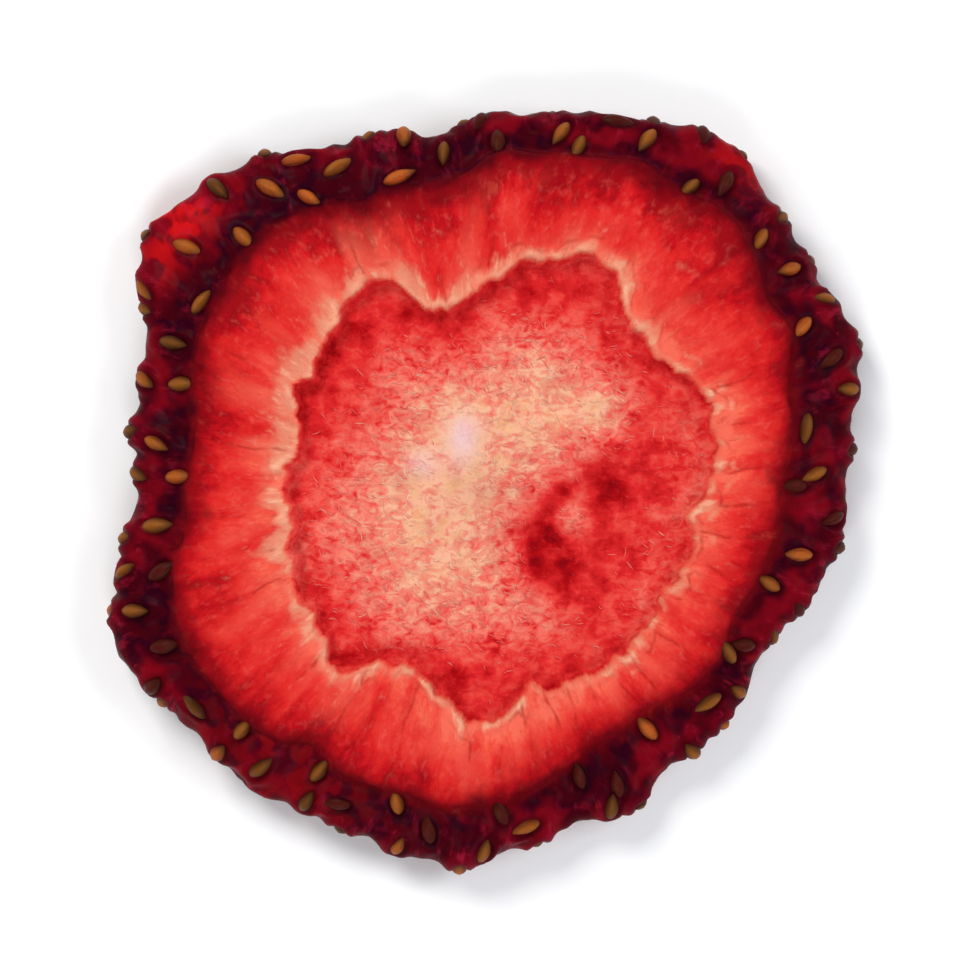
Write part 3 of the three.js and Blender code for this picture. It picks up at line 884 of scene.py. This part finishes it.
class FleshTree(Tree):
    """One finish for pith, vein ring, flesh and skin, told apart by the marks on the mesh."""

    MARKS = (
        "ring", "edge", "band", "rim", "lumps", "across", "crease", "height", "pit", "white", "pale", "glow",
        "tone", "streak", "patch", "blotch", "cloud",
    )

    def __init__(self, finish):
        super().__init__("strawberry_flesh")
        self.finish = finish
        for name in self.MARKS:
            setattr(self, name, self.mark(name))
        place = {0: self.add("TexCoord", output="Object"), 1: (1 / MM,) * 3}
        place = self.add("VectorMath", place, operation="MULTIPLY")
        radial = self.mark("radial", "Vector")
        self.specks = self.noise(radial, 2.6, 3, 0.7, 0.4, stretch=(1, 1, 1.7))
        self.flecks = self.noise(radial, 4.4, 2, 0.6, 0.3, stretch=(1, 1, 2.2))
        self.fine = self.noise(place, 5.5, 2, 0.65)
        self.grains = self.noise(place, 2.2, 3, 0.56, 0.8, turn=24, stretch=(1.0, 1.4, 1))
        # The share of the way from the vein ring to the cut edge.
        width = self.total(self.number("MAXIMUM", self.ring, 0.0), self.number("MAXIMUM", self.edge, 0.02))
        self.share = self.number("DIVIDE", self.ring, width)

    def stirred(self, value, **reaches):
        """A value that noises shift either way, each given as its name and its reach."""
        return self.total(value, *(self.offset(getattr(self, name), reach) for name, reach in reaches.items()))

    def flesh_colour(self):
        """From the vein ring out to the skin: streaked, paler beside the ring and dark beside the skin, partly
        its own tone and partly painted shade where the face turns down.
        """
        finish, share, specks = self.finish, self.share, self.specks
        outward = self.stirred(share, streak=0.26, blotch=0.12, specks=0.4, cloud=0.1, fine=0.12)
        outward = self.number("ADD", self.total(outward, self.tone), 0.0, clamp=True)
        flesh = self.ramp(outward, [
            (0.0, finish.inner_flesh), (0.14, FLESH_NEAR), (0.34, FLESH_HALF), (0.55, finish.flesh),
            (0.82, finish.outer_flesh), (1.0, FLESH_FAR),
        ])
        dusk = self.inward(blotch=0.5, cloud=0.3, specks=0.25)
        return self.layered(
            flesh,
            (finish.inner_flesh, (self.patch, 0.42, 0.95, 0, 0.8), (share, 0.95, 0.1)),
            (finish.inner_flesh, (specks, 0.58, 0.78, 0, 0.35), (share, 1.0, 0.5, 0.25, 1)),
            (finish.outer_flesh, (specks, 0.42, 0.28, 0, 0.4)),
            (FLESH_DOT, (self.flecks, 0.5, 0.8, 0, 0.28), (share, 1.0, 0.6, 0.2, 1)),
            # Darker towards the cut edge: partly the flesh's own tone, partly painted shade where the face turns
            # down to the skin.
            (DUSK_AND_LIP_SHADE, (dusk, 0.75, -0.45, 0, 0.85)),
        )

    def with_beads(self, flesh):
        """The flesh with the vein ring's pale ragged beads over it, with painted shade on their lower places."""
        finish, specks = self.finish, self.specks
        beads = self.layered(
            finish.ring,
            (finish.ring_shade, (self.height, 0.28, 0.02, 0, 0.6)),
            (finish.ring_shade, (specks, 0.5, 0.3, 0, 0.5)),
            (BEAD_LIGHT, (specks, 0.52, 0.7, 0, 0.6)),
            (finish.inner_flesh, (self.fine, 0.42, 0.3, 0, 0.5)),
        )
        ragged = self.stirred(self.band, specks=0.45, flecks=0.3, cloud=0.2)
        return self.layered(flesh, (beads, (ragged, 0.1, 1.0, 0, 0.92), (self.share, 0.7, 0.3, 0.15, 1)))

    def pith_colour(self):
        """A red margin, mottled through pink to cream."""
        finish, pale, fine = self.finish, self.pale, self.fine
        mottled = self.times(self.offset(self.grains, 0.8), self.span(pale, -0.05, 0.45, 0.2, 1.15))
        mottle = self.stirred(self.total(pale, 0.27, mottled), fine=0.05, blotch=0.08, cloud=0.14)
        pith = self.ramp(self.number("DIVIDE", mottle, 1.1, clamp=True), [
            (0.0, PITH_DARKEST), (0.09, finish.pith_deep), (0.24, finish.pith_margin), (0.36, PITH_RED),
            (0.55, finish.pith_pink), (0.77, PITH_ROSE), (0.95, finish.pith_cream), (1.0, PITH_PALEST),
        ])
        pith = self.layered(
            pith,
            (PITH_YELLOW, (self.cloud, 0.45, 0.7, 0, 0.6), (pale, 0.45, 0.9)),
            (finish.pith_margin, (fine, 0.38, 0.28, 0, 0.28)),
            (finish.pith_cream, (fine, 0.63, 0.73, 0, 0.22), (pale, 0, 0.3, 0.3, 1)),
        )
        # The painted glare on the pith's middle.
        return self.mix(self.white, pith, finish.pith_glare)

    def inward(self, **reaches):
        """The distance in from the cut edge, less where the flesh is darker, that noises shift either way."""
        return self.total(self.stirred(self.edge, **reaches), self.times(self.tone, -1.5))

    def line(self, distance, reach, strength):
        """A thin line where a distance is 0, with a ragged side."""
        away = self.number("ABSOLUTE", self.stirred(distance, fine=0.07))
        return self.times(self.span(away, reach, 0.2 * reach), strength)

    def cut_face(self):
        """Pith, ring and flesh, with painted shade in the creases, along the ring's sides and in the face's low
        places.
        """
        flesh = self.with_beads(self.flesh_colour())
        lumpy = self.stirred(self.ring, specks=0.16, flecks=0.08)
        colour = self.mix(self.span(lumpy, 0.0, -0.16), flesh, self.pith_colour())
        broken = self.times(self.crease, self.span(self.cloud, 0.35, 0.7, 0.05, 0.5))
        ring_side_shadow = self.times(self.lumps, self.span(self.cloud, 0.4, 0.65, 0.1, 0.6))
        for painted_shade in (
            self.line(self.across, 0.1, broken),
            self.line(self.total(self.ring, 0.05), 0.12, ring_side_shadow),
            self.line(self.total(self.rim, -0.1), 0.12, ring_side_shadow),
            self.span(self.height, 0.0, -0.24, 0, 0.35),
        ):
            colour = self.mix(painted_shade, colour, self.finish.crease_shade)
        return colour

    def skin_colour(self):
        """Darkest beside the flesh, redder towards the skin's widest line, with painted glow, crest highlights,
        glints and shade.
        """
        finish, height, cloud = self.finish, self.height, self.cloud
        clouded = (cloud, 0.35, 0.65)
        redness = self.stirred(self.times(self.edge, -0.24), blotch=0.8, cloud=0.35)
        redness = self.total(redness, self.times(self.tone, -0.5))
        skin = self.layered(
            finish.skin_dark,
            (finish.skin_purple, clouded),
            (finish.skin_red, (redness, 0.28, 1.1, 0, 0.85)),
        )
        # The glow mark paints light shining through the thin skin.
        skin = self.mix(self.glow, skin, self.layered(finish.skin_bright, (finish.skin_red, clouded)))
        skin = self.layered(
            skin,
            # Painted highlights on the skin's raised places.
            (finish.skin_red, (height, 0.1, 0.35, 0, 0.3)),
            (SKIN_CREST_HIGHLIGHT, (height, 0.25, 0.55, 0, 0.3)),
            # Painted shade in the skin's low places.
            (SKIN_PAINTED_SHADE, (height, -0.05, -0.3, 0, 0.6)),
            (SKIN_GLINT, (self.specks, 0.52, 0.72, 0, 0.5), (height, -0.2, 0.3)),
        )
        # Painted shadow round the achenes.
        return self.mix(self.times(self.pit, 0.75), skin, SKIN_PAINTED_SHADE)


def flesh_material(finish):
    """Pith, vein ring, flesh and skin, with a soft dark border between the flesh and the skin and painted shade
    on the cut edge's lip.
    """
    tree = FleshTree(finish)
    is_skin = tree.span(tree.inward(cloud=0.5, blotch=0.4, specks=0.25), -0.05, -1.05)
    colour = tree.mix(is_skin, tree.cut_face(), tree.skin_colour())
    # Painted shade along the lip of the cut edge.
    lip_shade = tree.number("ABSOLUTE", tree.total(tree.edge, 0.06))
    colour = tree.layered(colour, (DUSK_AND_LIP_SHADE, (lip_shade, 0.26, 0.05, 0, 0.25)))

    # Relief finer than the mesh.
    pith_grains = tree.times(tree.grains, tree.span(tree.ring, 0, -0.3, 0, 1.2))
    flesh_relief = tree.total(tree.times(tree.specks, 0.8), tree.times(tree.fine, 0.5), pith_grains)
    relief = tree.add("Mix", {0: is_skin, 2: flesh_relief, 3: tree.times(tree.specks, 0.25)}, data_type="FLOAT")
    return tree.finished({
        "Base Color": colour, "Roughness": tree.span(is_skin, 0, 1, 0.5, 0.26), "IOR": 1.45,
        "Specular IOR Level": 0.01, "Subsurface Weight": 0.1, "Subsurface Radius": (1.0, 0.22, 0.16),
        "Subsurface Scale": 0.0005,
    }, relief, 0.6, 0.00012)


def achene_material(finish):
    """A hard seed coat: each achene has its own tone, with painted highlights at its crest and tip and painted
    shade low on its sides.
    """
    tree = Tree("strawberry_achene")
    tone = tree.mark("tone")
    colour = tree.ramp(tone, [
        (0.0, finish.red), (0.3, finish.olive), (0.65, finish.gold), (1.0, finish.orange),
    ])
    veins = tree.noise(tree.mark("shell", "Vector"), 2.2, 4, 0.6, 0.4, stretch=(0.6, 2.4, 2.4))
    colour = tree.layered(colour, (finish.olive, (veins, 0.42, 0.7, 0, 0.6)))
    # Achenes still covered by skin show neither the painted highlight at the tip nor the one at the crest.
    bare = tree.span(tone, 0.1, 0.5)
    # Painted highlight towards the tip, the end that faces up the wall.
    tip = tree.times(tree.span(tree.mark("along"), 0.1, 0.5, 0, 0.55), bare)
    colour = tree.mix(tip, colour, ACHENE_TIP_HIGHLIGHT)
    colour = tree.mix(tree.times(tree.mark("crest"), bare), colour, ACHENE_CREST_HIGHLIGHT)
    colour = tree.mix(tree.mark("foot"), colour, finish.foot)
    shell = {"Base Color": colour, "Roughness": 0.33, "IOR": 1.5, "Specular IOR Level": 0.03}
    return tree.finished(shell, veins, 0.4, 0.00008)


def fibre_material(finish):
    """Pale threads of the pith, cream in its middle and pinker towards its margin."""
    tree = Tree("strawberry_fibre")
    colour = tree.ramp(tree.mark("tone"), [
        (0.0, FIBRE_RED), (0.45, finish.pith_pink), (0.8, finish.pith_cream), (1.0, FIBRE_PALE),
    ])
    return tree.finished({
        "Base Color": colour, "Roughness": 0.5, "IOR": 1.45, "Subsurface Weight": 0.1,
        "Subsurface Radius": (1.0, 0.3, 0.2), "Subsurface Scale": 0.0004,
    })


def plain_material(name, colour, roughness):
    return Tree(name).finished({"Base Color": (*colour, 1), "Roughness": roughness})


# ---- Operators ----

def slice_tones(points, azimuth, radius, edge):
    """Marks of the flesh's and the skin's tones by their place on the slice, with the skin's painted glow and the
    pith's painted glare.
    """
    glow = around(azimuth, BRIGHT_SKIN)
    for centre, reach, strength, start, way in THIN_CORNERS:
        glow += around(azimuth, [(centre, reach, strength)]) * np.clip((radius - start) / way, 0, 1)
    glow += around(azimuth, ROSY_EDGE) * bump(edge + 0.35, 0.65)
    streaks = radial_grain(azimuth, radius)
    return {
        "glow": np.clip(glow, 0, 1),
        "pale": pith_paleness(*points[:, :2].T),
        "white": sum(
            rise * bump(np.hypot((points[:, 0] - x) / wide, (points[:, 1] - y) / high), radius)
            for x, y, wide, high, radius, rise in GLARE_PLACES
        ),
        "streak": 0.5 + 0.6 * grain(streaks, 0.75, 4, 1.0),
        "patch": 0.5 + 0.6 * grain(streaks, 1.1, 2, 12.0),
        "blotch": 0.5 + 0.6 * grain(points, 1.9, 3, 6.0),
        "cloud": 0.5 + 0.6 * grain(points, 0.8, 3, 8.0),
        "radial": streaks,
    }


class STRAWBERRY_OT_slice(bpy.types.Operator):
    """Build the slice's body: pith, vein ring, flesh and wrinkled skin in one mesh"""

    bl_idname = "strawberry.slice"
    bl_label = "Slice"

    def execute(self, context):
        settings = context.scene.strawberry_shape
        rings = settings.wall_rings
        piece = slice_cage(settings.cells + 1, rings)
        cage = coordinates(piece.data)
        azimuth, out_share = disc(cage[:, 0], cage[:, 1])
        level = np.round(-cage[:, 2]).astype(int)
        top, under = level == 0, level > rings
        wall = ~(top | under)
        points = np.zeros_like(cage)
        height = np.zeros(len(cage))

        face = polar(azimuth[top], out_share[top] * radius_at(CUT_OUTLINE, azimuth[top]), 0)
        points[top], height[top] = upper_point(face[:, 0], face[:, 1], settings)

        share = level[wall] / rings
        plain = wall_point(azimuth[wall], share)
        nearness, shadow_side, lift = achene_nearness(plain, achene_places())
        height[wall] = skin_relief(azimuth[wall], share, nearness, lift, settings)
        points[wall] = plain + wall_axes(azimuth[wall], share)[2] * height[wall][:, None]

        r = out_share[under] * lower_edge(azimuth[under]) * UNDER_REACH
        points[under] = polar(azimuth[under], r, underside_height(azimuth[under], r))
        points[:, 2] = np.maximum(points[:, 2], 0)
        set_coordinates(piece.data, points * MM)
        soften(piece, (top & (out_share > SOFT_SHARE)) | (wall & (level <= SOFT_RINGS)), SOFT_TIMES)
        points = coordinates(piece.data) / MM

        # Marks for the finish: distances in millimetres from the ring outwards and from the cut edge inwards.
        radius = np.hypot(*points[:, :2].T)
        ring = distance_to_outline(vein_radius, points)
        edge = -distance_to_outline(cut_radius, points)
        ring[under] = distance_to_outline(lambda at: LOWER_RING_SCALE * vein_radius(at), points[under])
        edge[under] = lower_edge(azimuth[under]) - radius[under]
        edge[wall] = -WALL_LENGTH * np.minimum(share, 1.02 - share)
        bands = ring_bands(azimuth, ring)
        across, depth = crease_marks(azimuth, radius, ring / (ring + np.maximum(edge, 0.02)))
        pit = np.zeros(len(points))
        # Painted shadow round each achene, darkest on its lower right side, away from the key light.
        pit[wall] = bump(nearness - 0.9, 0.35) * (0.35 + 0.65 * smoothstep(0.5 + shadow_side / 0.7))
        marks = slice_tones(points, azimuth, radius, edge)
        marks["white"] *= top
        add_marks(
            piece.data, ring=ring, edge=edge, band=bands.pale, rim=bands.rim, lumps=bands.lumps, across=across,
            crease=depth * (edge > -0.3), height=height, pit=pit,
            tone=around(azimuth, DARKER_FLESH) * np.clip(ring, 0, 1), **marks,
        )
        finish_piece(piece, "slice_body", flesh_material(context.scene.strawberry_flesh))
        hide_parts(NODE)
        return {"FINISHED"}


def achene_model():
    """One achene, a flattened drop along X, as an object: its narrow tip is towards +X."""
    start_mesh()
    bpy.ops.mesh.primitive_uv_sphere_add(segments=16, ring_count=12, radius=0.5)
    model = bpy.context.object
    bpy.ops.object.mode_set(mode="EDIT")
    turn_to_x()
    bpy.ops.object.mode_set(mode="OBJECT")
    points = coordinates(model.data)
    x = points[:, 0]
    if x.max() < 0.4:
        raise RuntimeError("the achene didn't turn on to its side")
    taper = np.where(x > -0.1, 1 - 0.95 * np.clip((x + 0.1) / 0.6, 0, 1) ** 1.7 * 0.62, 1.0)
    keel = 1 + 0.05 * bump(points[:, 1], 0.1) * (points[:, 2] > 0)
    points[:, 1] *= taper
    points[:, 2] *= taper * keel
    points[:, 0] += 0.06 * np.clip(x, 0, 1) ** 2
    set_coordinates(model.data, points * ACHENE_SIZE)
    return model


class STRAWBERRY_OT_achenes(bpy.types.Operator):
    """Stand the achenes in their rows on the skin"""

    bl_idname = "strawberry.achenes"
    bl_label = "Achenes"

    def execute(self, context):
        draws = np.random.default_rng(ACHENE_SEED)
        model = achene_model()
        own = coordinates(model.data)
        placed, tones = [], []
        for place in achene_places():
            c, s = math.cos(place.turn), math.sin(place.turn)
            axes = [c * place.up + s * place.side, -s * place.up + c * place.side, place.out]
            sunk = ACHENE_SUNK + draws.uniform(SUNK_LEAST, SUNK_MOST)
            sunk += SUNK_MORE * bump(place.share - LOW_SHARE, LOW_REACH)
            sunk -= swell(place.share) + achene_lift(place.azimuth, place.share)
            placed.append(own @ (np.stack(axes) * place.size) + (place.point - place.out * sunk))
            covered, bright = draws.random() < COVERED_SHARE, draws.random() < BRIGHT_SHARE
            tones.append(0.06 if covered else 1.0 if bright else np.clip(draws.normal(0.55, 0.22), 0.2, 0.9))
        count, size = len(placed), len(own)
        piece = repeat_model(model, np.maximum(placed, [-np.inf, -np.inf, 0]), "achenes")
        own = np.tile(own / ACHENE_SIZE, (count, 1))
        add_marks(
            piece.data,
            tone=np.repeat(tones, size),
            along=own[:, 0],
            # Painted shade, darker the lower the point lies on the achene.
            foot=0.85 * np.clip(1.2 - 2.8 * own[:, 2], 0, 1),
            # Painted highlight along the top of the achene, a little off its middle.
            crest=0.45 * bump(own[:, 1] - 0.05, 0.24) * smoothstep((own[:, 2] - 0.1) / 0.35),
            shell=own + np.repeat(draws.uniform(-9, 9, (count, 3)), size, axis=0),
        )
        finish_piece(piece, "achenes", achene_material(context.scene.strawberry_achene))
        return {"FINISHED"}


def fibre_model(steps=4):
    """One fibre, a thin three-sided spindle one unit long along X and one unit in radius."""
    start_mesh()
    bpy.ops.mesh.primitive_cylinder_add(vertices=3, radius=1, depth=1, end_fill_type="TRIFAN")
    model = bpy.context.object
    bpy.ops.object.mode_set(mode="EDIT")
    turn_to_x()
    for k in range(1, steps):
        bpy.ops.mesh.select_all(action="SELECT")
        bpy.ops.mesh.bisect(plane_co=(k / steps - 0.5, 0, 0), plane_no=(1, 0, 0))
    bpy.ops.mesh.select_all(action="SELECT")
    bpy.ops.mesh.normals_make_consistent(inside=False)
    bpy.ops.object.mode_set(mode="OBJECT")
    return model


class STRAWBERRY_OT_fibres(bpy.types.Operator):
    """Lay the pith's fine pale fibres over it"""

    bl_idname = "strawberry.fibres"
    bl_label = "Fibres"

    def execute(self, context):
        settings, shape = context.scene.strawberry_fibres, context.scene.strawberry_shape
        draws = np.random.default_rng(settings.seed)

        # Places inside the ring, more of them where the pith is pale, and none on its painted glare.
        spots = draws.uniform(-FIBRE_SQUARE, FIBRE_SQUARE, (settings.count * 12, 2))
        azimuth, r = polar_of(*spots.T)
        pale = pith_paleness(*spots.T)
        kept = draws.random(len(spots)) < 0.08 + 3 * pale * (0.95 - pale)
        kept &= r < radius_at(VEIN_RING, azimuth) - RING_GAP
        kept &= np.hypot(*(spots - GLARE_PLACES[0][:2]).T) > GLARE_GAP
        spots, pale = spots[kept][:settings.count], pale[kept][:settings.count]
        count = len(spots)
        flat = np.c_[spots, np.zeros(count)]
        heading = np.radians(FIBRE_HEADING) + 0.9 * grain(flat, 2.2, 2, 4.0) + draws.normal(0, 0.45, count)
        bend = draws.normal(0, 0.4, count)
        length = settings.length * draws.uniform(0.5, 1.5, count)
        radius = settings.radius * draws.uniform(0.6, 1.4, count)
        arch = draws.uniform(-0.03, 0.01, count)

        # Each row of these arrays is a fibre, and each column a vertex of it.
        model = fibre_model()
        along, side, up = coordinates(model.data).T
        heading, bend, length, radius, arch = (v[:, None] for v in (heading, bend, length, radius, arch))
        angle = heading + bend * along
        thickness = radius * (1 - 0.75 * (2 * np.abs(along)) ** 2)
        x = spots[:, :1] + length * along * np.cos(angle) - np.sin(angle) * side * thickness
        y = spots[:, 1:] + length * along * np.sin(angle) + np.cos(angle) * side * thickness
        ground = upper_point(x.ravel(), y.ravel(), shape)[0][:, 2].reshape(x.shape)
        z = ground + arch * (1 - (2 * along) ** 2) + up * thickness
        piece = repeat_model(model, np.stack([x, y, z], axis=-1), "pith_fibres")
        tone = np.clip(pale * 0.95 + draws.normal(0.12, 0.16, count), 0, 1)
        add_marks(piece.data, tone=np.repeat(tone, len(along)))
        finish_piece(piece, "pith_fibres", fibre_material(context.scene.strawberry_flesh))
        return {"FINISHED"}


class STRAWBERRY_OT_stage(bpy.types.Operator):
    """Set the plain floor, the soft lights and the camera straight above the slice"""

    bl_idname = "strawberry.stage"
    bl_label = "Stage"

    def execute(self, context):
        settings = context.scene.strawberry_stage
        start_mesh()
        bpy.ops.mesh.primitive_plane_add(size=FLOOR_SIZE, location=(0, 0, -FLOOR_GAP))
        floor = context.object
        floor.name = "floor"
        floor.data.materials.append(plain_material("floor", settings.floor, 0.9))

        for name, place, size, power, colour in (
            ("key_light", (-0.2, 0.26, 0.3), 0.2, settings.key_power, (1.0, 0.98, 0.96)),
            ("right_light", (0.34, 0.06, 0.26), 0.26, settings.fill_power, (0.92, 0.95, 1.0)),
            ("near_light", (-0.06, -0.34, 0.26), 0.26, settings.fill_power, (0.96, 0.97, 1.0)),
        ):
            bpy.ops.object.light_add(type="AREA", location=place)
            light = context.object
            light.name = name
            light.data.size = size
            light.data.energy = power
            light.data.color = colour
            light.rotation_euler = (-Vector(place)).to_track_quat("-Z", "Y").to_euler()

        world = context.scene.world or bpy.data.worlds.new("studio")
        context.scene.world = world
        world.use_nodes = True
        background = world.node_tree.nodes["Background"]
        background.inputs["Color"].default_value = SKY_COLOUR
        background.inputs["Strength"].default_value = SKY_STRENGTH

        x, y = FRAME_MIDDLE
        height = FACE_HEIGHT * MM + settings.camera_height
        bpy.ops.object.camera_add(location=(x * MM, y * MM, height), rotation=(0, 0, 0))
        camera = context.object
        camera.name = "camera"
        camera.data.sensor_width = SENSOR_WIDTH
        camera.data.lens = camera.data.sensor_width * settings.camera_height / settings.frame_width
        camera.data.clip_start = 0.01
        camera.data.clip_end = 20
        camera.data.dof.use_dof = False
        context.scene.camera = camera
        context.scene.view_settings.view_transform = "Standard"
        return {"FINISHED"}


class STRAWBERRY_PT_panel(bpy.types.Panel):
    bl_label = "Dried Strawberry Slice"
    bl_idname = "STRAWBERRY_PT_panel"
    bl_space_type = "VIEW_3D"
    bl_region_type = "UI"
    bl_category = "Strawberry"

    def draw(self, context):
        for operator in OPERATORS:
            self.layout.operator(operator.bl_idname)
        for name, _ in SETTINGS:
            group = getattr(context.scene, name)
            box = self.layout.box()
            for field in group.bl_rna.properties:
                if field.identifier not in ("rna_type", "name"):
                    box.prop(group, field.identifier)


SETTINGS = (
    ("strawberry_shape", SliceShape),
    ("strawberry_flesh", FleshFinish),
    ("strawberry_achene", AcheneFinish),
    ("strawberry_fibres", FibreShape),
    ("strawberry_stage", StageSettings),
)
OPERATORS = (STRAWBERRY_OT_slice, STRAWBERRY_OT_achenes, STRAWBERRY_OT_fibres, STRAWBERRY_OT_stage)


def register():
    for name, group in SETTINGS:
        bpy.utils.register_class(group)
        setattr(bpy.types.Scene, name, bpy.props.PointerProperty(type=group))
    for operator in OPERATORS:
        bpy.utils.register_class(operator)
    bpy.utils.register_class(STRAWBERRY_PT_panel)


def unregister():
    bpy.utils.unregister_class(STRAWBERRY_PT_panel)
    for operator in reversed(OPERATORS):
        bpy.utils.unregister_class(operator)
    for name, group in reversed(SETTINGS):
        delattr(bpy.types.Scene, name)
        bpy.utils.unregister_class(group)


def main():
    register()
    bpy.ops.strawberry.slice()
    bpy.ops.strawberry.achenes()
    bpy.ops.strawberry.fibres()
    bpy.ops.strawberry.stage()


if __name__ == "__main__":
    main()
